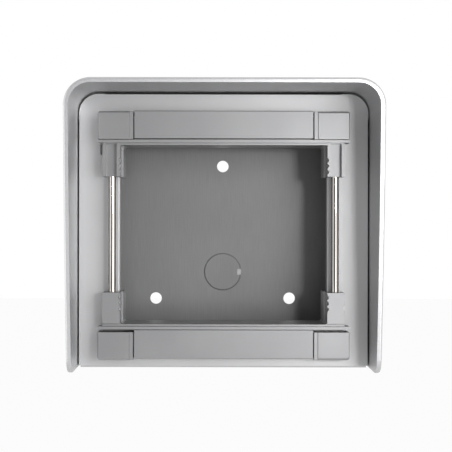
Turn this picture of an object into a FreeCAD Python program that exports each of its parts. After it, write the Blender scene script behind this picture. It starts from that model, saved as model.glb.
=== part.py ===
import FreeCAD, Part
import Sketcher
import math
import os
import re

# Rain shield for a one-module intercom panel, in millimetres.
# X runs to the right, Z runs up, and the front faces -Y.
# The origin lies on the wall face, level with the centre of the module frame.

Vector = FreeCAD.Vector

SIZES = {
    # hood: one bent sheet, an inverted U that is deeper at the top
    "hood_width": 153.5,
    "hood_top": 75.0,
    "hood_sheet": 2.5,
    "hood_corner": 11.0,
    "hood_reach_top": 44.5,
    "hood_reach_bottom": 28.5,
    "hood_front_bulge": 2.0,
    "hood_lower_corner": 8.5,
    "hood_edge_round": 1.2,
    # case: folded front and flat back
    "case_bottom": 70.0,
    "case_depth": 45.0,
    "case_sheet": 1.5,
    "case_bend": 2.2,
    "face_fold": 0.4,
    "bottom_fold": 1.0,
    "opening_bend": 0.6,
    "opening_flange": 7.0,
    "side_gap": 0.6,
    "top_gap": 1.1,
    "rear_lip": 10.0,
    "back_sheet": 1.5,
    "flange_end_gap": 3.0,
    # wall holes and knock-out
    "wall_hole": 6.5,
    "wall_hole_spacing": 75.0,
    "wall_hole_drop": 36.4,
    "top_hole_rise": 37.8,
    "knockout": 21.2,
    "knockout_drop": 21.5,
    "knockout_groove": 0.6,
    "knockout_skin": 0.4,
    "knockout_bridge": 3.2,
    "knockout_raise": 0.45,
    "knockout_bevel": 0.75,
    "knockout_ramp": 2.4,
    # module frame: two cast heads joined by two rods
    "frame_front": 12.0,
    "frame_base": 1.0,
    "window_half_width": 53.6,
    "side_margin": 11.4,
    "window_half_height": 46.35,
    "window_corner": 1.0,
    "spigot_wall": 1.7,
    "spigot_step": 1.0,
    "spigot_depth": 14.0,
    "spigot_clearance": 0.3,
    "bar_front": 7.0,
    "bar_rise": 15.05,
    "bar_inset": 1.8,
    "band_height": 1.45,
    "groove_height": 0.45,
    "lip_height": 0.75,
    "groove_floor": 10.6,
    "lip_front": 11.7,
    "bar_hollow": 3.5,
    "cap_trough": 1.7,
    "cap_trough_floor": 2.0,
    # legs of the heads
    "leg_width": 9.0,
    "leg_length": 16.3,
    "leg_rib": 1.7,
    "channel_floor": 8.7,
    "scallop_radius": 1.25,
    "scallop_inset": 0.5,
    "scallop_depth": 4.0,
    "scallop_pitch": 3.05,
    "scallop_start": 2.4,
    "notch_radius": 1.6,
    "notch_rise": 7.8,
    # rods
    "rod_radius": 2.0,
    "rod_front": 6.0,
    "rod_grip": 14.0,
    "rod_clearance": 0.05,
    "rod_end_gap": 0.3,
    # corner caps and cover strips
    "cover_wall": 1.5,
    "cover_clearance": 0.3,
    "cap_front": 12.6,
    "cap_width": 16.1,
    "cap_height": 14.4,
    "cap_ledge": 2.1,
    "cap_ledge_drop": 0.5,
    "cap_ledge_bevel": 0.35,
    "cap_rib": 1.0,
    "cap_corner": 1.1,
    "lower_cap_corner": 1.5,
    "upper_cap_rise": 0.5,
    "lower_cap_sag": 1.65,
    "strip_front": 11.4,
    "strip_end_gap": 0.6,
    "upper_strip_rise": 0.9,
    "lower_strip_rise": 1.0,
    "upper_strip_height": 14.4,
    "lower_strip_height": 14.95,
    "strip_foot": 2.0,
    "skirt_gap": 0.6,
    # fasteners
    "frame_screw": 2.0,
    "frame_screw_length": 13.0,
    "frame_screw_head": 4.0,
    "frame_screw_head_height": 2.4,
    "frame_screw_key": 2.5,
    "frame_screw_key_depth": 1.5,
    "frame_screw_inset": 8.0,
    "frame_screw_rise": 8.65,
    "screw_clearance": 0.25,
    "thread_clearance": 0.05,
    "clinch_nut_radius": 4.2,
    "clinch_nut_height": 4.0,
    "stud_radius": 2.0,
    "stud_length": 7.0,
    "stud_flange": 3.2,
    "stud_spacing": 80.0,
    "hood_nut_flats": 7.0,
    "hood_nut_height": 3.2,
    "washer_radius": 4.5,
    "washer_height": 0.8,
    "back_screw": 1.5,
    "back_screw_head": 2.8,
    "back_screw_length": 5.0,
    "back_screw_cross": 2.8,
    "back_screw_cross_width": 0.7,
    "back_screw_cross_depth": 1.0,
    "back_screw_inset": 6.65,
    "back_screw_rise": 45.0,
    # hook slot in the face of the case
    "slot_width": 3.2,
    "slot_height": 5.4,
    "slot_from_leg": 2.35,
    "slot_rise": 0.85,
}

doc = FreeCAD.newDocument("rain_shield")
sheet = doc.addObject("Spreadsheet::Sheet", "Sizes")
for row, (name, number) in enumerate(SIZES.items(), start=1):
    sheet.set("A%d" % row, name)
    sheet.set("B%d" % row, str(number))
    sheet.setAlias("B%d" % row, name)
doc.recompute()


def formula(text):
    """Turn the names of sizes in a formula into references to the sheet."""
    return re.sub(r"[a-z]\w+", lambda word: "Sizes." + word.group(0)
                  if word.group(0) in SIZES else word.group(0), text)


def amount(text):
    return float(sheet.evalExpression(formula(text)))


def bind(item, field, text):
    item.setExpression(field, formula(text))


def new_body(label):
    body = doc.addObject("PartDesign::Body", label)
    body.Label = label
    return body


def origin_plane(body, role):
    return next(item for item in body.Origin.OriginFeatures if item.Role == role)


def new_sketch(body, name, plane, lift="0"):
    """A sketch on one of the body's planes, lifted along the plane's normal.

    XZ_Plane looks at the front: across is X, up is Z and lift is the distance from the wall.
    YZ_Plane looks from the right: across is Y, up is Z and lift is X.
    XY_Plane looks from above: across is X, up is Y and lift is Z.
    """
    sketch = body.newObject("Sketcher::SketchObject", name)
    sketch.AttachmentSupport = (origin_plane(body, plane), [""])
    sketch.MapMode = "FlatFace"
    bind(sketch, "AttachmentOffset.Base.z", lift)
    return sketch


def pin_point(sketch, geometry, position, across, up):
    """Hold one point of a sketch at two formulas."""
    for kind, text in (("DistanceX", across), ("DistanceY", up)):
        index = sketch.addConstraint(
            Sketcher.Constraint(kind, -1, 1, geometry, position, amount(text)))
        bind(sketch, "Constraints[%d]" % index, text)


def draw_outline(sketch, corners):
    """Draw a closed outline through corners (across, up) or (across, up, rounding)."""
    count = len(corners)
    points = [Vector(amount(corner[0]), amount(corner[1]), 0) for corner in corners]
    arrive, leave, centres = list(points), list(points), [None] * count
    for i, corner in enumerate(corners):
        if len(corner) == 3:
            back = (points[i - 1] - points[i]).normalize()
            ahead = (points[(i + 1) % count] - points[i]).normalize()
            half = back.getAngle(ahead) / 2
            radius = amount(corner[2])
            arrive[i] = points[i] + back * (radius / math.tan(half))
            leave[i] = points[i] + ahead * (radius / math.tan(half))
            centres[i] = points[i] + (back + ahead).normalize() * (radius / math.sin(half))
    lines = [sketch.addGeometry(Part.LineSegment(leave[i], arrive[(i + 1) % count]), False)
             for i in range(count)]
    for i, corner in enumerate(corners):
        before, after = lines[i - 1], lines[i]
        if centres[i] is None:
            sketch.addConstraint(Sketcher.Constraint("Coincident", before, 2, after, 1))
            pin_point(sketch, after, 1, corner[0], corner[1])
            continue
        tip = sketch.addGeometry(Part.Point(points[i]), True)
        pin_point(sketch, tip, 1, corner[0], corner[1])
        sketch.addConstraint(Sketcher.Constraint("PointOnObject", tip, 1, before))
        sketch.addConstraint(Sketcher.Constraint("PointOnObject", tip, 1, after))
        first, last = arrive[i] - centres[i], leave[i] - centres[i]
        turns_left = first.cross(last).z > 0
        start, stop = (first, last) if turns_left else (last, first)
        circle = Part.Circle(centres[i], Vector(0, 0, 1), amount(corner[2]))
        arc = sketch.addGeometry(Part.ArcOfCircle(circle, math.atan2(start.y, start.x),
                                                  math.atan2(stop.y, stop.x)), False)
        near, far = (1, 2) if turns_left else (2, 1)
        sketch.addConstraint(Sketcher.Constraint("Tangent", before, 2, arc, near))
        sketch.addConstraint(Sketcher.Constraint("Tangent", arc, far, after, 1))
        index = sketch.addConstraint(Sketcher.Constraint("Radius", arc, amount(corner[2])))
        bind(sketch, "Constraints[%d]" % index, corner[2])


def draw_rectangle(sketch, left, bottom, right, top):
    draw_outline(sketch, [(left, bottom), (right, bottom), (right, top), (left, top)])


def draw_circle(sketch, across, up, radius):
    circle = Part.Circle(Vector(amount(across), amount(up), 0), Vector(0, 0, 1), amount(radius))
    geometry = sketch.addGeometry(circle, False)
    pin_point(sketch, geometry, 3, across, up)
    index = sketch.addConstraint(Sketcher.Constraint("Radius", geometry, amount(radius)))
    bind(sketch, "Constraints[%d]" % index, radius)


def extrude(kind, sketch, length, side="One side", backward=False):
    """Pad or pocket a sketch of its own body; a pocket also goes along the normal."""
    body = sketch.getParentGeoFeatureGroup()
    feature = body.newObject("PartDesign::" + kind, sketch.Name.replace("_sketch", ""))
    feature.Profile = sketch
    feature.SideType = side
    feature.Reversed = backward != (kind == "Pocket")
    bind(feature, "Length", length)
    sketch.Visibility = False
    return feature


def pad(sketch, length, side="One side", backward=False):
    return extrude("Pad", sketch, length, side, backward)


def pocket(sketch, length, side="One side", backward=False):
    return extrude("Pocket", sketch, length, side, backward)


def mirror(features, plane="YZ_Plane"):
    body = features[0].getParentGeoFeatureGroup()
    feature = body.newObject("PartDesign::Mirrored", features[0].Name + "_mirrored")
    feature.Originals = features
    feature.MirrorPlane = (origin_plane(body, plane), [""])
    body.Tip = feature
    return feature


def dress_edges(kind, body, name, size, wanted):
    """Round or bevel the edges of a body that a test picks by their geometry."""
    doc.recompute()
    base = body.Tip
    names = ["Edge%d" % (i + 1) for i, edge in enumerate(base.Shape.Edges) if wanted(edge)]
    feature = body.newObject("PartDesign::" + kind, name)
    feature.Base = (base, names)
    bind(feature, "Radius" if kind == "Fillet" else "Size", size)
    body.Tip = feature
    return feature


def near(number, text, slack=0.01):
    return abs(number - amount(text)) < slack


# Shared places, each worked out from the sizes above

CASE_HALF = "(hood_width / 2 - side_gap)"
CASE_TOP = "(hood_top - top_gap)"
CASE_CORNER = "(hood_corner - side_gap)"
FACE = "case_depth"
STUD_RISE = "(stud_spacing / 2)"
STUD_DEPTH = "(case_depth / 2)"

BASE = "(case_depth + frame_base)"
BAND_BOTTOM = "(window_half_height + lip_height + groove_height)"
BAND_TOP = "(window_half_height + lip_height + groove_height + band_height)"
BAR_TOP = "(window_half_height + bar_rise)"
FRAME_HALF = "(window_half_width + side_margin)"
BAR_HALF = "(window_half_width + side_margin - bar_inset)"
LEG_OUTER = "(window_half_width + leg_width)"
LEG_END = "(window_half_height - leg_length)"
ROD_ACROSS = "(window_half_width + leg_width / 2)"
SCREW_ACROSS = "(window_half_width + side_margin - frame_screw_inset)"
SCREW_UP = "(window_half_height + frame_screw_rise)"
BACK_SCREW_ACROSS = f"({CASE_HALF} - back_screw_inset)"
SPIGOT_IN = "(window_half_width - spigot_step)"
SPIGOT_OUT = "(window_half_width - spigot_step + spigot_wall)"
SPIGOT_LOW = "window_half_height"
SPIGOT_HIGH = "(window_half_height + spigot_wall)"
OPENING_HALF = "(window_half_width - spigot_step + spigot_wall + spigot_clearance)"
OPENING_RISE = "(window_half_height + spigot_wall + spigot_clearance)"


def build_hood():
    """The hood: an inverted U of bent sheet whose front edge leans back towards the bottom."""
    body = new_body("hood")
    half, outer = "hood_width / 2", "(hood_width / 2 + hood_sheet)"
    bend = new_sketch(body, "hood_bend_sketch", "XZ_Plane")
    draw_outline(bend, [
        (f"-{outer}", "-case_bottom"),
        (f"-{outer}", "hood_top + hood_sheet", "hood_corner + hood_sheet"),
        (outer, "hood_top + hood_sheet", "hood_corner + hood_sheet"),
        (outer, "-case_bottom"),
        (half, "-case_bottom"),
        (half, "hood_top", "hood_corner"),
        (f"-{half}", "hood_top", "hood_corner"),
        (f"-{half}", "-case_bottom")])
    pad(bend, "case_depth + hood_reach_top")

    # the side view of the front edge is one long, slightly bulging arc
    rise = "(hood_top + hood_sheet + case_bottom)"
    lean = "(hood_reach_top - hood_reach_bottom)"
    chord_squared = f"({rise} * {rise} + {lean} * {lean})"
    radius = f"{chord_squared} / (8 * hood_front_bulge) + hood_front_bulge / 2"
    edge = new_sketch(body, "hood_front_edge_sketch", "YZ_Plane")
    top = Vector(-amount("case_depth + hood_reach_top"), amount("hood_top + hood_sheet"), 0)
    low = Vector(-amount("case_depth + hood_reach_bottom"), -amount("case_bottom"), 0)
    away = Vector(low.y - top.y, top.x - low.x, 0).normalize()
    middle = (top + low) / 2 + away * amount("hood_front_bulge")
    outer_top = Vector(top.x, low.y, 0)
    edge.addGeometry(Part.Arc(top, middle, low), False)
    edge.addGeometry(Part.LineSegment(low, outer_top), False)
    edge.addGeometry(Part.LineSegment(outer_top, top), False)
    # the arc turns left, so its start may be either end of the edge
    arc = edge.Geometry[0]
    start, stop = (1, 2) if arc.StartPoint.distanceToPoint(top) < 1e-6 else (2, 1)
    edge.addConstraint(Sketcher.Constraint("Coincident", 0, stop, 1, 1))
    edge.addConstraint(Sketcher.Constraint("Coincident", 1, 2, 2, 1))
    edge.addConstraint(Sketcher.Constraint("Coincident", 2, 2, 0, start))
    pin_point(edge, 1, 1, "-(case_depth + hood_reach_bottom)", "-case_bottom")
    pin_point(edge, 2, 1, "-(case_depth + hood_reach_top)", "-case_bottom")
    pin_point(edge, 2, 2, "-(case_depth + hood_reach_top)", "hood_top + hood_sheet")
    index = edge.addConstraint(Sketcher.Constraint("Radius", 0, amount(radius)))
    bind(edge, "Constraints[%d]" % index, radius)
    pocket(edge, "2 * hood_width", side="Symmetric")

    def lower_corner(edge):
        return all(near(vertex.Y, "-(case_depth + hood_reach_bottom)")
                   and near(vertex.Z, "-case_bottom") for vertex in edge.Vertexes)
    dress_edges("Fillet", body, "hood_lower_corners", "hood_lower_corner", lower_corner)

    def outer_edge(edge):
        """The outer edge of the front and bottom rims, which is ground round."""
        middle = edge.valueAt((edge.FirstParameter + edge.LastParameter) / 2)
        start, stop = amount("hood_width / 2 - hood_corner"), amount("hood_top - hood_corner")
        across, up = max(abs(middle.x) - start, 0), max(middle.z - stop, 0)
        rim = near(math.hypot(across, up), "hood_corner + hood_sheet", 0.02)
        along_depth = near(abs(edge.tangentAt(edge.FirstParameter).y), "1", 0.001)
        low = near(middle.z, "-case_bottom")
        return rim and middle.y < -1 and (low or not along_depth)
    dress_edges("Fillet", body, "hood_edge_rounding", "hood_edge_round", outer_edge)

    # weld studs on the inner faces of the side walls; their flanges keep the gap to the case
    flange = new_sketch(body, "hood_stud_flange_sketch", "YZ_Plane", "-hood_width / 2")
    shank = new_sketch(body, "hood_stud_sketch", "YZ_Plane", f"-{CASE_HALF}")
    for sign in "-+":
        draw_circle(flange, f"-{STUD_DEPTH}", f"{sign}{STUD_RISE}", "stud_flange")
        draw_circle(shank, f"-{STUD_DEPTH}", f"{sign}{STUD_RISE}", "stud_radius")
    mirror([pad(flange, "side_gap"), pad(shank, "stud_length")])
    return body


def fold_profile(sketch, edge, fold, depth_axis_first, sign="-"):
    """Section of one edge: tight fold at the face, wall to the rear, bend and rear lip."""
    inner = f"({edge} - case_sheet)"
    turn = f"({edge} - case_bend)"
    tip = f"({edge} - rear_lip)"
    tight = "case_bend - case_sheet"
    corners = [
        (f"({turn} - case_sheet)", FACE), (edge, FACE, fold),
        (edge, "back_sheet", "case_bend"), (tip, "back_sheet"),
        (tip, "back_sheet + case_sheet"), (inner, "back_sheet + case_sheet", tight),
        (inner, "case_depth - case_sheet"),
        (f"({turn} - case_sheet)", "case_depth - case_sheet")]
    drawn = []
    for corner in corners:
        across, depth = f"{sign}{corner[0]}", f"-({corner[1]})"
        place = (depth, across) if depth_axis_first else (across, depth)
        drawn.append(place + corner[2:])
    draw_outline(sketch, drawn)


def build_front_housing():
    """The folded case: face with its opening, side, bottom and top walls, and rear lips."""
    body = new_body("front_housing")
    inner_edge = f"({CASE_HALF} - case_bend)"
    low = "(case_bottom - case_bend)"
    high = f"({CASE_TOP} - case_bend)"
    side_end = f"({CASE_TOP} - {CASE_CORNER} - flange_end_gap)"
    top_end = f"({CASE_HALF} - {CASE_CORNER} - flange_end_gap)"

    face = new_sketch(body, "face_sketch", "XZ_Plane", "case_depth - case_sheet")
    right = [
        (top_end, high), (top_end, CASE_TOP),
        (CASE_HALF, CASE_TOP, CASE_CORNER),
        (CASE_HALF, side_end), (inner_edge, side_end), (inner_edge, f"-{low}")]
    left = [(f"-{corner[0]}",) + corner[1:] for corner in reversed(right)]
    draw_outline(face, right + left)
    pad(face, "case_sheet")

    side = new_sketch(body, "side_wall_sketch", "XY_Plane", "-(case_bottom - bottom_fold)")
    fold_profile(side, CASE_HALF, "face_fold", depth_axis_first=False)
    mirror([pad(side, f"case_bottom - bottom_fold + {side_end}")])
    bottom = new_sketch(body, "bottom_wall_sketch", "YZ_Plane")
    fold_profile(bottom, "case_bottom", "bottom_fold", depth_axis_first=True)
    pad(bottom, f"2 * ({inner_edge} - rear_lip)", side="Symmetric")
    top = new_sketch(body, "top_wall_sketch", "YZ_Plane")
    fold_profile(top, CASE_TOP, "face_fold", depth_axis_first=True, sign="")
    pad(top, f"2 * {top_end}", side="Symmetric")
    return body


def finish_front_housing(body):
    """The bottom wall reaches the side walls; then the opening, slot and holes are cut."""
    floor = new_sketch(body, "bottom_ends_sketch", "YZ_Plane")
    start = "-(case_bottom - case_bend - case_sheet)"
    draw_outline(floor, [
        ("-(case_depth - case_sheet)", start), (f"-{FACE}", start),
        (f"-{FACE}", "-case_bottom", "bottom_fold"),
        ("-(back_sheet + case_bend)", "-case_bottom"),
        ("-(back_sheet + case_bend)", "-(case_bottom - case_sheet)"),
        ("-(case_depth - case_sheet)", "-(case_bottom - case_sheet)")])
    pad(floor, f"2 * ({CASE_HALF} - bottom_fold)", side="Symmetric")

    # the upright edges of the opening are bent inward, with a relief cut at each corner
    opening = new_sketch(body, "opening_sketch", "XZ_Plane", FACE)
    wide = f"({OPENING_HALF} + opening_bend)"
    draw_rectangle(opening, f"-{wide}", f"-{OPENING_RISE}", wide, OPENING_RISE)
    pocket(opening, "case_sheet", backward=True)
    flange = new_sketch(body, "opening_flange_sketch", "XY_Plane")
    outside, rear = f"({OPENING_HALF} + case_sheet)", "-(case_depth - opening_flange)"
    draw_outline(flange, [
        (f"{wide} + case_sheet", f"-{FACE}"), (OPENING_HALF, f"-{FACE}", "opening_bend"),
        (OPENING_HALF, rear), (outside, rear),
        (outside, "-(case_depth - case_sheet)"),
        (f"{wide} + case_sheet", "-(case_depth - case_sheet)")])
    mirror([pad(flange, f"2 * ({OPENING_RISE} - opening_bend)", side="Symmetric")])
    slot = new_sketch(body, "hook_slot_sketch", "XZ_Plane", FACE)
    left = f"({LEG_OUTER} + slot_from_leg)"
    top = "(window_half_height + slot_rise)"
    draw_outline(slot, [
        (f"-{left}", top), (f"-{left}", f"{top} - slot_height + slot_width / 8"),
        (f"-({left} - slot_width / 8)", f"{top} - slot_height"),
        (f"-({left} - slot_width)", f"{top} - slot_height"),
        (f"-({left} - slot_width)", top)])
    pocket(slot, "case_sheet", backward=True)

    studs = new_sketch(body, "stud_holes_sketch", "YZ_Plane")
    screws = new_sketch(body, "frame_screw_holes_sketch", "XZ_Plane", FACE)
    lips = new_sketch(body, "lip_holes_sketch", "XZ_Plane", "back_sheet + case_sheet")
    for sign in "-+":
        draw_circle(studs, f"-{STUD_DEPTH}", f"{sign}{STUD_RISE}",
                    "stud_radius + screw_clearance")
        for side in "-+":
            draw_circle(screws, f"{side}{SCREW_ACROSS}", f"{sign}{SCREW_UP}",
                        "frame_screw + screw_clearance")
            draw_circle(lips, f"{side}{BACK_SCREW_ACROSS}", f"{sign}back_screw_rise",
                        "back_screw + thread_clearance")
    pocket(studs, "2 * hood_width", side="Symmetric")
    pocket(screws, "case_sheet", backward=True)
    pocket(lips, "case_sheet", backward=True)
    return body


def build_back_plate():
    """The flat back: wall holes, countersunk screw holes and a scored round knock-out."""
    body = new_body("back_plate")
    plate = new_sketch(body, "back_sketch", "XZ_Plane")
    draw_outline(plate, [
        (f"-{CASE_HALF}", "-case_bottom"), (CASE_HALF, "-case_bottom"),
        (CASE_HALF, CASE_TOP, CASE_CORNER), (f"-{CASE_HALF}", CASE_TOP, CASE_CORNER)])
    pad(plate, "back_sheet")
    holes = new_sketch(body, "wall_holes_sketch", "XZ_Plane", "back_sheet")
    draw_circle(holes, "-wall_hole_spacing / 2", "-wall_hole_drop", "wall_hole / 2")
    draw_circle(holes, "wall_hole_spacing / 2", "-wall_hole_drop", "wall_hole / 2")
    draw_circle(holes, "0 * wall_hole", "top_hole_rise", "wall_hole / 2")
    pocket(holes, "back_sheet", backward=True)

    # the knock-out stands a little proud and is scored from behind; at its right one bridge
    # ties it to the sheet, and the disc slopes down to it
    disc = new_sketch(body, "knockout_disc_sketch", "XZ_Plane", "back_sheet")
    draw_circle(disc, "0 * knockout", "-knockout_drop", "knockout / 2")
    raised = pad(disc, "knockout_raise")
    raised.TaperAngle = 0
    bind(raised, "TaperAngle", "-atan(knockout_bevel / knockout_raise)")
    ramp = new_sketch(body, "knockout_ramp_sketch", "XY_Plane", "-knockout_drop")
    draw_outline(ramp, [
        ("knockout / 2 - knockout_ramp", "-(back_sheet + knockout_raise)"),
        ("knockout / 2 - knockout_ramp", "-(back_sheet + 2 * knockout_raise)"),
        ("knockout / 2 + knockout_bevel / 4", "-(back_sheet + 2 * knockout_raise)"),
        ("knockout / 2 + knockout_bevel / 4", "-(back_sheet + knockout_raise / 6)")])
    pocket(ramp, "knockout_bridge", side="Symmetric")
    ring = new_sketch(body, "knockout_score_sketch", "XZ_Plane")
    draw_circle(ring, "0 * knockout", "-knockout_drop", "(knockout + knockout_groove) / 2")
    draw_circle(ring, "0 * knockout", "-knockout_drop", "(knockout - knockout_groove) / 2")
    pocket(ring, "back_sheet - knockout_skin")
    bridge = new_sketch(body, "knockout_bridge_sketch", "XZ_Plane")
    draw_rectangle(bridge, "knockout / 2 - knockout_groove",
                   "-(knockout_drop + knockout_bridge / 2)",
                   "knockout / 2 + knockout_groove",
                   "-(knockout_drop - knockout_bridge / 2)")
    pad(bridge, "back_sheet")

    sinks = new_sketch(body, "back_screw_sinks_sketch", "XZ_Plane")
    for side in "-+":
        for sign in "-+":
            draw_circle(sinks, f"{side}{BACK_SCREW_ACROSS}", f"{sign}back_screw_rise",
                        "back_screw_head")
    sink = pocket(sinks, "back_sheet")
    sink.TaperAngle = 0
    bind(sink, "TaperAngle", "-atan((back_screw_head - back_screw - thread_clearance)"
                             " / back_sheet)")
    return body


def build_head(label, up):
    """One die-cast head: bar with two bands, two legs with rod bores, and a spigot behind."""
    body = new_body(label)
    top_head = up == ""

    def height(text):
        return f"{up}({text})"

    # spigot that passes through the opening of the case
    spigot = new_sketch(body, f"{label}_spigot_sketch", "XZ_Plane", BASE)
    outside = [
        (SPIGOT_OUT, height(LEG_END)), (SPIGOT_OUT, height(SPIGOT_HIGH))]
    inside = [
        (f"-{SPIGOT_IN}", height(SPIGOT_LOW), "window_corner"),
        (SPIGOT_IN, height(SPIGOT_LOW), "window_corner")]
    draw_outline(spigot, outside + [(f"-{SPIGOT_OUT}", height(SPIGOT_HIGH)),
                                    (f"-{SPIGOT_OUT}", height(LEG_END)),
                                    (f"-{SPIGOT_IN}", height(LEG_END))]
                 + inside + [(SPIGOT_IN, height(LEG_END))])
    pad(spigot, "frame_base + spigot_depth", backward=True)

    # front block: bar edge with the two legs
    shape = new_sketch(body, f"{label}_front_sketch", "XZ_Plane", BASE)
    right = [
        (FRAME_HALF, height(BAND_BOTTOM)), (LEG_OUTER, height(BAND_BOTTOM)),
        (LEG_OUTER, height(LEG_END)), ("window_half_width", height(LEG_END)),
        ("window_half_width", height("window_half_height"), "window_corner")]
    left = [(f"-({corner[0]})",) + corner[1:] for corner in reversed(right)]
    draw_outline(shape, [(FRAME_HALF, height(BAND_TOP), "cap_corner / 2")] + right + left
                 + [(f"-{FRAME_HALF}", height(BAND_TOP), "cap_corner / 2")])
    pad(shape, "groove_floor - frame_base")

    bar = new_sketch(body, f"{label}_bar_sketch", "XZ_Plane", BASE)
    draw_outline(bar, [
        (f"-{BAR_HALF}", height(BAND_BOTTOM)), (BAR_HALF, height(BAND_BOTTOM)),
        (BAR_HALF, height(BAR_TOP), "cap_corner"), (f"-{BAR_HALF}", height(BAR_TOP), "cap_corner")])
    pad(bar, "bar_front - frame_base")

    # raised band beside the covers, and the lower lip that edges the window
    band = new_sketch(body, f"{label}_band_sketch", "XZ_Plane", f"{FACE} + groove_floor")
    draw_rectangle(band, f"-{FRAME_HALF}", height(BAND_BOTTOM), FRAME_HALF, height(BAND_TOP))
    pad(band, "frame_front - groove_floor")
    lip = new_sketch(body, f"{label}_lip_sketch", "XZ_Plane", f"{FACE} + groove_floor")
    lip_half = "window_half_width + leg_rib" if top_head else LEG_OUTER
    draw_rectangle(lip, f"-({lip_half})", height("window_half_height"),
                   lip_half, height("window_half_height + lip_height"))
    pad(lip, "lip_front - groove_floor")

    # legs: two ribs with an open channel in the top head, a plain front in the bottom head
    leg_front = new_sketch(body, f"{label}_leg_front_sketch", "XZ_Plane",
                           f"{FACE} + groove_floor")
    leg_top = height("window_half_height" if top_head else "window_half_height - lip_height / 2")
    if top_head:
        draw_rectangle(leg_front, "window_half_width", height(LEG_END),
                       "window_half_width + leg_rib", leg_top)
        draw_rectangle(leg_front, f"{LEG_OUTER} - leg_rib", height(LEG_END),
                       LEG_OUTER, leg_top)
    else:
        draw_rectangle(leg_front, "window_half_width", height(LEG_END), LEG_OUTER, leg_top)
    mirror([pad(leg_front, "frame_front - groove_floor")])
    if top_head:
        channel = new_sketch(body, f"{label}_channel_sketch", "XZ_Plane",
                             f"{FACE} + groove_floor")
        draw_rectangle(channel, "window_half_width + leg_rib", height(LEG_END),
                       f"{LEG_OUTER} - leg_rib", height("window_half_height + lip_height"))
        mirror([pocket(channel, "groove_floor - channel_floor", backward=True)])

    # the bar is cast hollow from behind, with solid ends for the screws
    hollow = new_sketch(body, f"{label}_hollow_sketch", "XZ_Plane", BASE)
    hollow_half = f"({SCREW_ACROSS} - 3 * frame_screw_head)"
    draw_rectangle(hollow, f"-{hollow_half}", height(f"{SPIGOT_HIGH} + spigot_wall + band_height"),
                   hollow_half, height(f"{BAR_TOP} - spigot_wall"))
    pocket(hollow, "bar_hollow")

    # a trough beside the band makes room for the caps' inner edges
    trough = new_sketch(body, f"{label}_trough_sketch", "XZ_Plane", f"{FACE} + bar_front")
    for side in "-+":
        draw_rectangle(trough, f"{side}({hollow_half} + spigot_wall)", height(BAND_TOP),
                       f"{side}({BAR_HALF} + cap_rib)", height(f"{BAND_TOP} + cap_trough"))
    pocket(trough, "bar_front - cap_trough_floor", backward=True)

    # screw holes under the caps
    holes = new_sketch(body, f"{label}_screw_holes_sketch", "XZ_Plane", BASE)
    for side in "-+":
        draw_circle(holes, f"{side}{SCREW_ACROSS}", height(SCREW_UP),
                    "frame_screw + screw_clearance")
    pocket(holes, "bar_front")

    # blind bores for the rods
    rod_lift = LEG_END if top_head else f"-{LEG_END}"
    bores = new_sketch(body, f"{label}_rod_bores_sketch", "XY_Plane", rod_lift)
    for side in "-+":
        draw_circle(bores, f"{side}{ROD_ACROSS}", f"-({FACE} + rod_front)",
                    "rod_radius + rod_clearance")
    pocket(bores, "rod_grip + rod_end_gap", backward=not top_head)

    # scallops in the front inner edge of each leg
    scallops = new_sketch(body, f"{label}_scallops_sketch", "XZ_Plane", f"{FACE} + frame_front")
    for i in range(3):
        draw_circle(scallops, "window_half_width - scallop_inset",
                    height(f"{LEG_END} + scallop_start + {i} * scallop_pitch"),
                    "scallop_radius")
    mirror([pocket(scallops, "scallop_depth", backward=True)])

    if not top_head:
        notch = new_sketch(body, "bottom_head_notch_sketch", "XZ_Plane",
                           f"{FACE} + frame_front")
        draw_circle(notch, f"{LEG_OUTER} + notch_radius / 2", height(f"{LEG_END} + notch_rise"),
                    "notch_radius")
        pocket(notch, "frame_front - frame_base", backward=True)
    return body


def build_seal(label, up):
    """A flat rubber seal between a head and the face of the case."""
    body = new_body(label)
    shape = new_sketch(body, f"{label}_sketch", "XZ_Plane", FACE)
    low = f"{up}({OPENING_RISE})"
    high = f"{up}({BAR_TOP} - cover_clearance)"
    draw_rectangle(shape, f"-({BAR_HALF} - cover_clearance)", low,
                   f"{BAR_HALF} - cover_clearance", high)
    for side in "-+":
        draw_circle(shape, f"{side}{SCREW_ACROSS}", f"{up}{SCREW_UP}",
                    "frame_screw + screw_clearance")
    pad(shape, "frame_base")
    return body


def build_rod(label, side):
    """A round steel rod with bevelled ends, held in both heads."""
    body = new_body(label)
    shape = new_sketch(body, f"{label}_sketch", "XY_Plane", f"-({LEG_END} + rod_grip)")
    draw_circle(shape, f"{side}{ROD_ACROSS}", f"-({FACE} + rod_front)", "rod_radius")
    pad(shape, f"2 * ({LEG_END} + rod_grip)")
    dress_edges("Chamfer", body, f"{label}_ends", "rod_radius / 6",
                lambda edge: hasattr(edge.Curve, "Radius"))
    return body


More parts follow.
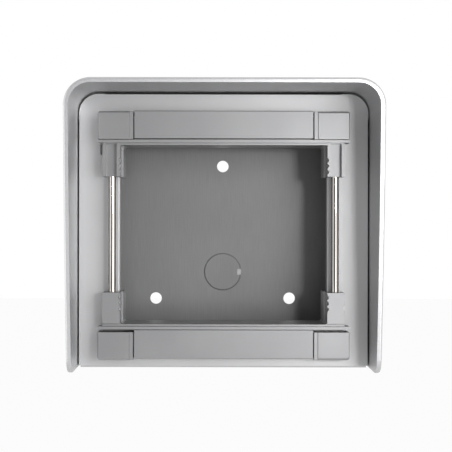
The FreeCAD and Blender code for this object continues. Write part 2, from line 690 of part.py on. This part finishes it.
def build_cap(label, side, up, sag, rounding):
    """A corner cap: front with a low ledge at its inner end, and skirts on two sides."""
    body = new_body(label)
    outer = FRAME_HALF
    top = f"({BAR_TOP} + cover_clearance + cover_wall)"
    skirt_back = f"({FACE} + skirt_gap)"
    front = f"({FACE} + cap_front)"
    inner = f"({outer} - cap_width)"

    def height(text):
        return f"{up}({text}) - {sag}"

    section = new_sketch(body, f"{label}_section_sketch", "XY_Plane",
                         height(top) if up == "-" else height(f"{top} - cap_height"))
    draw_outline(section, [
        (f"{side}({place[0]})", f"-({place[1]})") + place[2:] for place in [
            (outer, skirt_back), (outer, front, "cap_corner / 2"), (inner, front),
            (f"{inner} - cap_ledge_bevel", f"{front} - cap_ledge_drop"),
            (f"{inner} - cap_ledge", f"{front} - cap_ledge_drop"),
            (f"{inner} - cap_ledge", f"{front} - cap_ledge_drop - cover_wall"),
            (f"{outer} - cover_wall", f"{front} - cover_wall - cap_ledge_drop"),
            (f"{outer} - cover_wall", skirt_back)]])
    pad(section, "cap_height")
    skirt = new_sketch(body, f"{label}_skirt_sketch", "XZ_Plane", skirt_back)
    draw_rectangle(skirt, f"{side}({inner} - cap_ledge)", height(top),
                   f"{side}({outer} - cover_wall / 2)", height(f"{top} - cover_wall"))
    pad(skirt, "cap_front - skirt_gap - cap_ledge_drop - cover_wall / 2")

    # two ribs beside the screw head stand on the bar and carry the cap
    ribs = new_sketch(body, f"{label}_ribs_sketch", "XZ_Plane", f"{FACE} + bar_front")
    for way in "-+":
        near_edge = f"({SCREW_ACROSS} {way} (frame_screw_head + cover_clearance))"
        far_edge = f"({SCREW_ACROSS} {way} (frame_screw_head + cover_clearance + cap_rib))"
        draw_rectangle(ribs, f"{side}{near_edge}", f"{up}({SCREW_UP} - frame_screw_head)",
                       f"{side}{far_edge}", f"{up}({SCREW_UP} + frame_screw_head)")
    pad(ribs, "cap_front - cap_ledge_drop - cover_wall / 2 - bar_front")

    def outer_corner(edge):
        return (len(edge.Vertexes) == 2 and all(
            near(vertex.X, f"{side}{outer}") and near(vertex.Z, height(top))
            for vertex in edge.Vertexes))
    dress_edges("Fillet", body, f"{label}_corner", rounding, outer_corner)
    return body


def build_strip(label, up, rise, tall):
    """A bare cover strip between two caps: front, outer skirt and a foot on the bar."""
    body = new_body(label)
    top = f"({BAR_TOP} + cover_clearance + cover_wall + {rise})"
    low = f"({top} - {tall})"
    front = f"({FACE} + strip_front)"
    seat = f"({FACE} + bar_front)"

    def height(text):
        return f"{up}({text})"

    section = new_sketch(body, f"{label}_sketch", "YZ_Plane")
    draw_outline(section, [
        (f"-({place[0]})", height(place[1])) + place[2:] for place in [
            (f"{FACE} + skirt_gap", top), (front, top, "cap_corner / 2"),
            (front, low, "cap_corner / 4"),
            (f"{front} - cover_wall", low), (f"{front} - cover_wall", f"{low} + strip_foot"),
            (seat, f"{low} + strip_foot"), (seat, f"{low} + strip_foot + cover_wall"),
            (f"{front} - cover_wall", f"{low} + strip_foot + cover_wall"),
            (f"{front} - cover_wall", f"{top} - cover_wall"),
            (f"{FACE} + skirt_gap", f"{top} - cover_wall")]])
    pad(section, f"2 * ({FRAME_HALF} - cap_width - cap_ledge - strip_end_gap)", side="Symmetric")
    return body


def four_places(*features):
    """Repeat features in the four corners of the frame, as separate solids."""
    body = features[0].getParentGeoFeatureGroup()
    group = body.newObject("PartDesign::MultiTransform", body.Name + "_group")
    group.Originals = list(features)
    steps = []
    for plane in ("YZ_Plane", "XY_Plane"):
        step = body.newObject("PartDesign::Mirrored", body.Name + "_" + plane[:2].lower())
        step.MirrorPlane = (origin_plane(body, plane), [""])
        steps.append(step)
    group.Transformations = steps
    body.Tip = group


def build_turned(label, plane, lift, centre, outline, drive):
    """Four screws, each revolved about a line of its sketch, with a drive in its head."""
    body = new_body(label)
    sketch = new_sketch(body, f"{label}_sketch", plane, lift)
    draw_outline(sketch, [(f"{centre} + {place[0]}",) + place[1:] for place in outline])
    axis = sketch.addGeometry(Part.LineSegment(
        Vector(amount(centre), amount(outline[0][1]), 0),
        Vector(amount(centre), amount(outline[-1][1]), 0)), True)
    sketch.addConstraint(Sketcher.Constraint("Coincident", axis, 1, 0, 1))
    sketch.addConstraint(Sketcher.Constraint("Coincident", axis, 2, len(outline) - 1, 1))
    turned = body.newObject("PartDesign::Revolution", f"{label}_turned")
    turned.Profile = sketch
    turned.ReferenceAxis = (sketch, ["Axis0"])
    turned.Angle = 360
    across, up, start, depth, backward, corners = drive
    recess = new_sketch(body, f"{label}_drive_sketch", "XZ_Plane", start)
    draw_outline(recess, [(f"{across} + ({corner[0]})", f"{up} + ({corner[1]})")
                          for corner in corners])
    four_places(turned, pocket(recess, depth, backward=backward))
    return body


def build_fasteners():
    """Screws, nuts and washers, each kind one group of four."""
    shoulder = f"({FACE} + bar_front)"
    key = "frame_screw_key / 2 / cos(30)"
    hexagon = [(f"{key} * cos({60 * i})", f"{key} * sin({60 * i})") for i in range(6)]
    arm, thin = "back_screw_cross / 2", "back_screw_cross_width / 2"
    quarter = [(arm, thin), (thin, thin), (thin, arm)]
    cross = []
    for side, up in (("", ""), ("-", ""), ("-", "-"), ("", "-")):
        corners = [(f"{side}{place[0]}", f"{up}{place[1]}") for place in quarter]
        cross += corners if side == up else corners[::-1]
    head_screws = build_turned(
        "head_screws", "XY_Plane", f"-{SCREW_UP}", SCREW_ACROSS, [
            ("0", f"-({shoulder} - frame_screw_length)"),
            ("frame_screw", f"-({shoulder} - frame_screw_length)"),
            ("frame_screw", f"-{shoulder}"),
            ("frame_screw_head", f"-{shoulder}"),
            ("frame_screw_head", f"-({shoulder} + frame_screw_head_height)",
             "frame_screw_head / 4"),
            ("0", f"-({shoulder} + frame_screw_head_height)")],
        (SCREW_ACROSS, SCREW_UP, f"{shoulder} + frame_screw_head_height",
         "frame_screw_key_depth", True, hexagon))
    nut_face = "(case_depth - case_sheet)"
    nut_bore = "(frame_screw + thread_clearance)"
    plate_nuts = new_body("plate_nuts")
    ring = new_sketch(plate_nuts, "plate_nut_sketch", "XZ_Plane", nut_face)
    draw_circle(ring, SCREW_ACROSS, SCREW_UP, "clinch_nut_radius")
    draw_circle(ring, SCREW_ACROSS, SCREW_UP, nut_bore)
    four_places(pad(ring, "clinch_nut_height", backward=True))

    wall_inside = f"({CASE_HALF} - case_sheet)"
    washers = new_body("hood_washers")
    ring = new_sketch(washers, "hood_washer_sketch", "YZ_Plane", wall_inside)
    draw_circle(ring, f"-{STUD_DEPTH}", STUD_RISE, "washer_radius")
    draw_circle(ring, f"-{STUD_DEPTH}", STUD_RISE, "stud_radius + screw_clearance")
    four_places(pad(ring, "washer_height", backward=True))

    nuts = new_body("hood_nuts")
    shape = new_sketch(nuts, "hood_nut_sketch", "YZ_Plane", f"{wall_inside} - washer_height")
    corner = "hood_nut_flats / 2 / cos(30)"
    draw_outline(shape, [(f"-{STUD_DEPTH} + {corner} * cos({60 * i})",
                          f"{STUD_RISE} + {corner} * sin({60 * i})") for i in range(6)])
    draw_circle(shape, f"-{STUD_DEPTH}", STUD_RISE, "stud_radius + thread_clearance")
    four_places(pad(shape, "hood_nut_height", backward=True))

    back_screws = build_turned(
        "back_screws", "XY_Plane", "back_screw_rise", BACK_SCREW_ACROSS, [
            ("0", "0 * back_screw"), ("back_screw_head - thread_clearance", "0 * back_screw"),
            ("back_screw", "-(back_sheet)"), ("back_screw", "-back_screw_length"),
            ("0", "-back_screw_length")],
        (BACK_SCREW_ACROSS, "back_screw_rise", "0", "back_screw_cross_depth", False, cross))
    return [head_screws, plate_nuts, washers, nuts, back_screws]


parts = [
    build_hood(),
    finish_front_housing(build_front_housing()),
    build_back_plate(),
    build_head("top_head", ""),
    build_head("bottom_head", "-"),
    build_seal("top_head_seal", ""),
    build_seal("bottom_head_seal", "-"),
    build_rod("left_rod", "-"),
    build_rod("right_rod", ""),
    build_cap("top_left_cap", "-", "", "(-upper_cap_rise)", "cap_corner"),
    build_cap("top_right_cap", "", "", "(-upper_cap_rise)", "cap_corner"),
    build_cap("bottom_left_cap", "-", "-", "lower_cap_sag", "lower_cap_corner"),
    build_cap("bottom_right_cap", "", "-", "lower_cap_sag", "lower_cap_corner"),
    build_strip("top_cover_strip", "", "upper_strip_rise", "upper_strip_height"),
    build_strip("bottom_cover_strip", "-", "lower_strip_rise", "lower_strip_height"),
]
parts.extend(build_fasteners())
doc.recompute()

for item in doc.Objects:
    if "Invalid" in item.State or "Error" in item.State:
        raise RuntimeError("failed object: " + item.Label)
os.makedirs("parts", exist_ok=True)
for part in parts:
    if part.Shape.isNull() or not part.Shape.isValid():
        raise RuntimeError("bad shape: " + part.Label)
for part in parts:
    part.Shape.exportStep("parts/" + part.Label + ".step")
    print(part.Label, len(part.Shape.Solids), "solids", round(part.Shape.Volume, 1), "mm3")
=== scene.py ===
import math

import bpy
from mathutils import Matrix, Vector

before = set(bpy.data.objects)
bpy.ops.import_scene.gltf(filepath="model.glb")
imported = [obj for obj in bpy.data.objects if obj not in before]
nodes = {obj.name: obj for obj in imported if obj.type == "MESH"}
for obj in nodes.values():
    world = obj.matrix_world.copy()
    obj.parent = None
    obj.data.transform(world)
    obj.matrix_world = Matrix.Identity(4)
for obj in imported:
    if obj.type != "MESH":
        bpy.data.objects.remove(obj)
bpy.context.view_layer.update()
mm = 0.001
print("frame loaded:", len(nodes), "nodes")


def linearColour(hexColour):
    channels = [int(hexColour[i:i + 2], 16) / 255 for i in (1, 3, 5)]
    return [c / 12.92 if c <= 0.04045 else ((c + 0.055) / 1.055) ** 2.4 for c in channels] + [1.0]


# one helper for every kind of node: settings are properties, links are socket values or other sockets
def addNode(tree, kind, settings=None, links=None):
    node = tree.nodes.new("ShaderNode" + kind)
    for name, value in (settings or {}).items():
        setattr(node, name, value)
    for name, value in (links or {}).items():
        if isinstance(value, bpy.types.NodeSocket):
            tree.links.new(value, node.inputs[name])
        else:
            node.inputs[name].default_value = value
    return node


def startMaterial(name):
    material = bpy.data.materials.new(name)
    material.use_nodes = True
    material.node_tree.nodes.clear()
    return material, material.node_tree


# where most of a noise value lies, how detailed each noise is and how far the grain moves the
# roughness; the real grains are too fine to show, so each grainMm below is drawn several times coarser
texture = {"spread": (0.3, 0.7), "driftDetail": 3.0, "grainDetail": 2.0, "roughnessSwing": 0.1}

# faces pass from fully to not at all into the painted highlight of a sheet's cut edge as their normal's
# Y goes between these values
edgeHighlightFacing = (-0.93, -0.80)


# metal, lacquer or rubber: two tones in a slow drift, and a fine grain in tone, roughness and bump
def satinFinish(look):
    material, tree = startMaterial(look["name"])
    place = addNode(tree, "TexCoord").outputs["Object"]
    stretched = addNode(tree, "Mapping", None, {"Vector": place, "Scale": look["stretch"]})
    drift = addNode(tree, "TexNoise", None, {
        "Vector": place, "Scale": 1 / (look["driftMm"] * mm), "Detail": texture["driftDetail"]})
    grain = addNode(tree, "TexNoise", None, {
        "Vector": stretched.outputs["Vector"], "Scale": 1 / (look["grainMm"] * mm),
        "Detail": texture["grainDetail"]})
    low, high = texture["spread"]
    tone = addNode(tree, "ValToRGB", None, {"Fac": drift.outputs["Fac"]})
    stops = tone.color_ramp.elements
    stops[0].position = low
    stops[1].position = high
    stops[0].color = linearColour(look["dark"])
    stops[1].color = linearColour(look["light"])
    speck = addNode(tree, "MapRange", None, {
        "Value": grain.outputs["Fac"], "From Min": low, "From Max": high,
        "To Min": 1 - look["speck"], "To Max": 1 + look["speck"]})
    colour = tone.outputs["Color"]
    if "edge" in look:
        # the sheet's cut edge faces the front; there a slightly lighter tone is mixed in by facing
        # alone, a painted highlight
        facing = addNode(tree, "SeparateXYZ", None, {
            "Vector": addNode(tree, "TexCoord").outputs["Normal"]})
        edgeHighlightShare = addNode(tree, "MapRange", None, {
            "Value": facing.outputs["Y"], "From Min": edgeHighlightFacing[0],
            "From Max": edgeHighlightFacing[1], "To Min": 1.0, "To Max": 0.0})
        colour = addNode(tree, "Mix", {"data_type": "RGBA"}, {
            "Factor": edgeHighlightShare.outputs["Result"], "A": colour,
            "B": linearColour(look["edge"])}).outputs["Result"]
    colour = addNode(tree, "VectorMath", {"operation": "SCALE"}, {
        "Vector": colour, "Scale": speck.outputs["Result"]}).outputs["Vector"]
    swing = texture["roughnessSwing"]
    rough = addNode(tree, "MapRange", None, {
        "Value": grain.outputs["Fac"], "From Min": low, "From Max": high,
        "To Min": (1 - swing) * look["roughness"], "To Max": (1 + swing) * look["roughness"]})
    bump = addNode(tree, "Bump", None, {
        "Height": grain.outputs["Fac"], "Strength": look["bump"], "Distance": look["bumpMm"] * mm})
    shader = addNode(tree, "BsdfPrincipled", None, {
        "Base Color": colour, "Metallic": look["metallic"], "Roughness": rough.outputs["Result"],
        "Normal": bump.outputs["Normal"]})
    addNode(tree, "OutputMaterial", None, {"Surface": shader.outputs["BSDF"]})
    return material


# aluminium sheet, blasted and clear anodised: silver grey, a soft sheen and a grainy cut edge with a
# painted highlight
hoodLook = {
    "name": "anodisedAluminiumSheet", "dark": "#c4c4c5", "light": "#cccccd", "edge": "#cacacc",
    "metallic": 0.90, "roughness": 0.44, "grainMm": 0.5, "stretch": (1, 1, 1), "speck": 0.07,
    "driftMm": 45, "bump": 0.15, "bumpMm": 0.05}

# the same sheet in a smoother rolled finish, which mirrors the hood softly
caseLook = {
    "name": "satinAluminiumSheet", "dark": "#bdbdbe", "light": "#c5c5c6",
    "metallic": 0.77, "roughness": 0.49, "grainMm": 0.4, "stretch": (1, 1, 1), "speck": 0.015,
    "driftMm": 60, "bump": 0.08, "bumpMm": 0.04}

# rolled aluminium with the mill's grain running up and down, duller than the front
backLook = {
    "name": "rolledAluminiumSheet", "dark": "#8b8b8b", "light": "#939393",
    "metallic": 0.2, "roughness": 0.36, "grainMm": 0.5, "stretch": (1, 1, 0.04), "speck": 0.05,
    "driftMm": 50, "bump": 0.25, "bumpMm": 0.05}

# zinc die casting under silver lacquer: a mid grey that stays flat, with a low sheen on its steps
castLook = {
    "name": "lacqueredZincCasting", "dark": "#98989a", "light": "#a0a0a1",
    "metallic": 0.66, "roughness": 0.42, "grainMm": 0.3, "stretch": (1, 1, 1), "speck": 0.03,
    "driftMm": 30, "bump": 0.15, "bumpMm": 0.04}

# moulded plastic under the same silver lacquer, a touch smoother, so that it reads as one with the heads
coverLook = {
    "name": "lacqueredAbs", "dark": "#98989a", "light": "#a0a0a1",
    "metallic": 0.66, "roughness": 0.42, "grainMm": 0.25, "stretch": (1, 1, 1), "speck": 0.02,
    "driftMm": 40, "bump": 0.12, "bumpMm": 0.03}

# ground and polished stainless rod: sharp bright and dark stripes, a little warm
rodLook = {
    "name": "polishedStainlessSteel", "dark": "#a39f9b", "light": "#ada9a5",
    "metallic": 1.0, "roughness": 0.03, "grainMm": 0.3, "stretch": (1, 1, 0.1), "speck": 0.02,
    "driftMm": 20, "bump": 0.0, "bumpMm": 0.002}

# EPDM rubber cut from sheet: dull and nearly black
sealLook = {
    "name": "epdmRubber", "dark": "#1b1b1b", "light": "#232323",
    "metallic": 0.0, "roughness": 0.7, "grainMm": 0.4, "stretch": (1, 1, 1), "speck": 0.1,
    "driftMm": 15, "bump": 0.3, "bumpMm": 0.05}

# zinc-plated steel: bluish grey, slightly mottled
zincLook = {
    "name": "zincPlatedSteel", "dark": "#a9abae", "light": "#bdbfc1",
    "metallic": 1.0, "roughness": 0.34, "grainMm": 0.5, "stretch": (1, 1, 1), "speck": 0.05,
    "driftMm": 4, "bump": 0.1, "bumpMm": 0.02}

hoodAluminium = satinFinish(hoodLook)
caseAluminium = satinFinish(caseLook)
backAluminium = satinFinish(backLook)
castZinc = satinFinish(castLook)
coverPlastic = satinFinish(coverLook)
rodSteel = satinFinish(rodLook)
sealRubber = satinFinish(sealLook)
zincSteel = satinFinish(zincLook)
print("materials made")

# edges sharper than the angle, in degrees, are rounded in this many steps
edgeRounding = {"segments": 2, "angle": 40}

# finish and edge rounding in millimetres of every CAD node
finishes = {
    "hood": (hoodAluminium, 0.25),
    "front_housing": (caseAluminium, 0.0),
    "back_plate": (backAluminium, 0.0),
    "top_head": (castZinc, 0.12),
    "bottom_head": (castZinc, 0.12),
    "top_head_seal": (sealRubber, 0.0),
    "bottom_head_seal": (sealRubber, 0.0),
    "left_rod": (rodSteel, 0.0),
    "right_rod": (rodSteel, 0.0),
    "top_left_cap": (coverPlastic, 0.12),
    "top_right_cap": (coverPlastic, 0.12),
    "bottom_left_cap": (coverPlastic, 0.12),
    "bottom_right_cap": (coverPlastic, 0.12),
    "top_cover_strip": (coverPlastic, 0.12),
    "bottom_cover_strip": (coverPlastic, 0.12),
    "head_screws": (zincSteel, 0.1),
    "plate_nuts": (zincSteel, 0.0),
    "hood_washers": (zincSteel, 0.0),
    "hood_nuts": (zincSteel, 0.15),
    "back_screws": (zincSteel, 0.0),
}
for name, (material, rounding) in finishes.items():
    piece = nodes[name]
    piece.data.materials.clear()
    piece.data.materials.append(material)
    if rounding:
        soften = piece.modifiers.new("edgeRounding", "BEVEL")
        soften.width = rounding * mm
        soften.segments = edgeRounding["segments"]
        soften.limit_method = "ANGLE"
        soften.angle_limit = math.radians(edgeRounding["angle"])
print("finishes applied")

scene = bpy.context.scene
scene.view_settings.view_transform = "Standard"

# camera square to the case, a little left of its centre; millimetres, degrees and shares of the width
cameraSettings = {"across": -6.05, "away": 665.0, "up": 7.05, "lens": 93.8, "sensor": 36.0,
                  "roll": -0.1, "upright": 90.0, "shiftAcross": 0.031, "shiftUp": -0.011,
                  "nearest": 10.0, "farthest": 50000.0}
camera = bpy.data.objects.new("camera", bpy.data.cameras.new("camera"))
scene.collection.objects.link(camera)
camera.data.sensor_width = cameraSettings["sensor"]
camera.data.lens = cameraSettings["lens"]
camera.data.shift_x = cameraSettings["shiftAcross"]
camera.data.shift_y = cameraSettings["shiftUp"]
camera.data.clip_start = cameraSettings["nearest"] * mm
camera.data.clip_end = cameraSettings["farthest"] * mm
camera.matrix_world = (
    Matrix.Translation((cameraSettings["across"] * mm, -cameraSettings["away"] * mm,
                        cameraSettings["up"] * mm))
    @ Matrix.Rotation(math.radians(cameraSettings["roll"]), 4, "Y")
    @ Matrix.Rotation(math.radians(cameraSettings["upright"]), 4, "X"))
scene.camera = camera
print("camera placed")

# pale floor well below the object; the share of plain white in it leaves room for the object's shadow
floorSettings = {"level": -300.0, "half": 4000.0, "colour": "#e6e6e6", "whiteShare": 0.97}
floorMesh = bpy.data.meshes.new("floor")
half = floorSettings["half"] * mm
level = floorSettings["level"] * mm
floorMesh.from_pydata([(-half, -half, level), (half, -half, level), (half, half, level),
                       (-half, half, level)], [], [(0, 1, 2, 3)])
floor = bpy.data.objects.new("floor", floorMesh)
scene.collection.objects.link(floor)

# camera, mirrored and see-through rays find the floor nearly white; the others find it pale grey
floorPaint, tree = startMaterial("paleFloor")
path = addNode(tree, "LightPath")
whiteRays = addNode(tree, "Math", {"operation": "MAXIMUM"}, {
    0: path.outputs["Is Camera Ray"], 1: path.outputs["Is Glossy Ray"]})
whiteRays = addNode(tree, "Math", {"operation": "MAXIMUM"}, {
    0: whiteRays.outputs[0], 1: path.outputs["Is Transmission Ray"]})
share = addNode(tree, "Math", {"operation": "MULTIPLY"}, {
    0: whiteRays.outputs[0], 1: floorSettings["whiteShare"]})
lit = addNode(tree, "BsdfDiffuse", None, {"Color": linearColour(floorSettings["colour"])})
white = addNode(tree, "Emission", None, {"Color": linearColour("#ffffff"), "Strength": 1.0})
mixed = addNode(tree, "MixShader", None, {
    0: share.outputs[0], 1: lit.outputs[0], 2: white.outputs[0]})
addNode(tree, "OutputMaterial", None, {"Surface": mixed.outputs[0]})
floorMesh.materials.append(floorPaint)
print("floor placed")

# strengths of the world: for plain light, and as mirrored from the lens, the front, above and behind
studio = {"ambient": 0.02, "lens": 0.5, "frontLeft": 0.48, "frontRight": 0.90, "above": 1.0,
          "behind": 1.0}

# the ray directions between which one strength passes into the next
turns = {"leftToRight": (-0.6, 0.6), "frontToAbove": (0.4, 0.9), "lensToFront": (-0.97, -0.80),
         "frontToBehind": (0.25, 0.85)}

# the camera sees plain white; mirrored, it is white behind and above, dimmer in front and at the left
world = bpy.data.worlds.new("studio")
scene.world = world
world.use_nodes = True
tree = world.node_tree
tree.nodes.clear()
path = addNode(tree, "LightPath")
direction = addNode(tree, "SeparateXYZ", None, {
    "Vector": addNode(tree, "TexCoord").outputs["Generated"]})
across = addNode(tree, "MapRange", None, {
    "Value": direction.outputs["X"], "From Min": turns["leftToRight"][0],
    "From Max": turns["leftToRight"][1], "To Min": studio["frontLeft"],
    "To Max": studio["frontRight"]})
above = addNode(tree, "MapRange", None, {
    "Value": direction.outputs["Z"], "From Min": turns["frontToAbove"][0],
    "From Max": turns["frontToAbove"][1], "To Min": 0.0, "To Max": 1.0})
besideLens = addNode(tree, "MapRange", None, {
    "Value": direction.outputs["Y"], "From Min": turns["lensToFront"][0],
    "From Max": turns["lensToFront"][1], "To Min": studio["lens"], "To Max": 1.0})
behind = addNode(tree, "MapRange", None, {
    "Value": direction.outputs["Y"], "From Min": turns["frontToBehind"][0],
    "From Max": turns["frontToBehind"][1], "To Min": 0.0, "To Max": 1.0})
# each Mix of two numbers has its share at 0 and the numbers at 2 and 3
around = addNode(tree, "Mix", {"data_type": "FLOAT"}, {
    0: above.outputs["Result"], 2: across.outputs["Result"], 3: studio["above"]})
front = addNode(tree, "Math", {"operation": "MULTIPLY"}, {
    0: around.outputs[0], 1: besideLens.outputs["Result"]})
mirrored = addNode(tree, "Mix", {"data_type": "FLOAT"}, {
    0: behind.outputs["Result"], 2: front.outputs[0], 3: studio["behind"]})
seen = addNode(tree, "Math", {"operation": "MAXIMUM"}, {
    0: path.outputs["Is Camera Ray"], 1: path.outputs["Is Transmission Ray"]})
glossed = addNode(tree, "Mix", {"data_type": "FLOAT"}, {
    0: path.outputs["Is Glossy Ray"], 2: studio["ambient"], 3: mirrored.outputs[0]})
strength = addNode(tree, "Mix", {"data_type": "FLOAT"}, {
    0: seen.outputs[0], 2: glossed.outputs[0], 3: 1.0})
sky = addNode(tree, "Background", None, {
    "Color": linearColour("#ffffff"), "Strength": strength.outputs[0]})
addNode(tree, "OutputWorld", None, {"Surface": sky.outputs[0]})
print("world set")

# a small key lamp a little right of the camera, a soft one further right and a large dim panel at the
# left; places and sizes in millimetres
lamps = {
    "keyLamp": {"at": (192, -640, 40), "aim": (0, -45, 0), "size": 50, "watts": 0.45},
    "rightLamp": {"at": (363, -551, 35), "aim": (0, -45, 0), "size": 380, "watts": 2.7},
    "leftLamp": {"at": (-635, -190, 0), "aim": (0, -45, 0), "size": 750, "watts": 2.2},
}
for name, lamp in lamps.items():
    light = bpy.data.lights.new(name, "AREA")
    light.size = lamp["size"] * mm
    light.energy = lamp["watts"]
    place = bpy.data.objects.new(name, light)
    scene.collection.objects.link(place)
    start = [v * mm for v in lamp["at"]]
    aim = [(b - a) * mm for a, b in zip(lamp["at"], lamp["aim"])]
    place.location = start
    place.rotation_euler = Vector(aim).to_track_quat("-Z", "Y").to_euler()
    place.visible_camera = False
print("lamps placed")
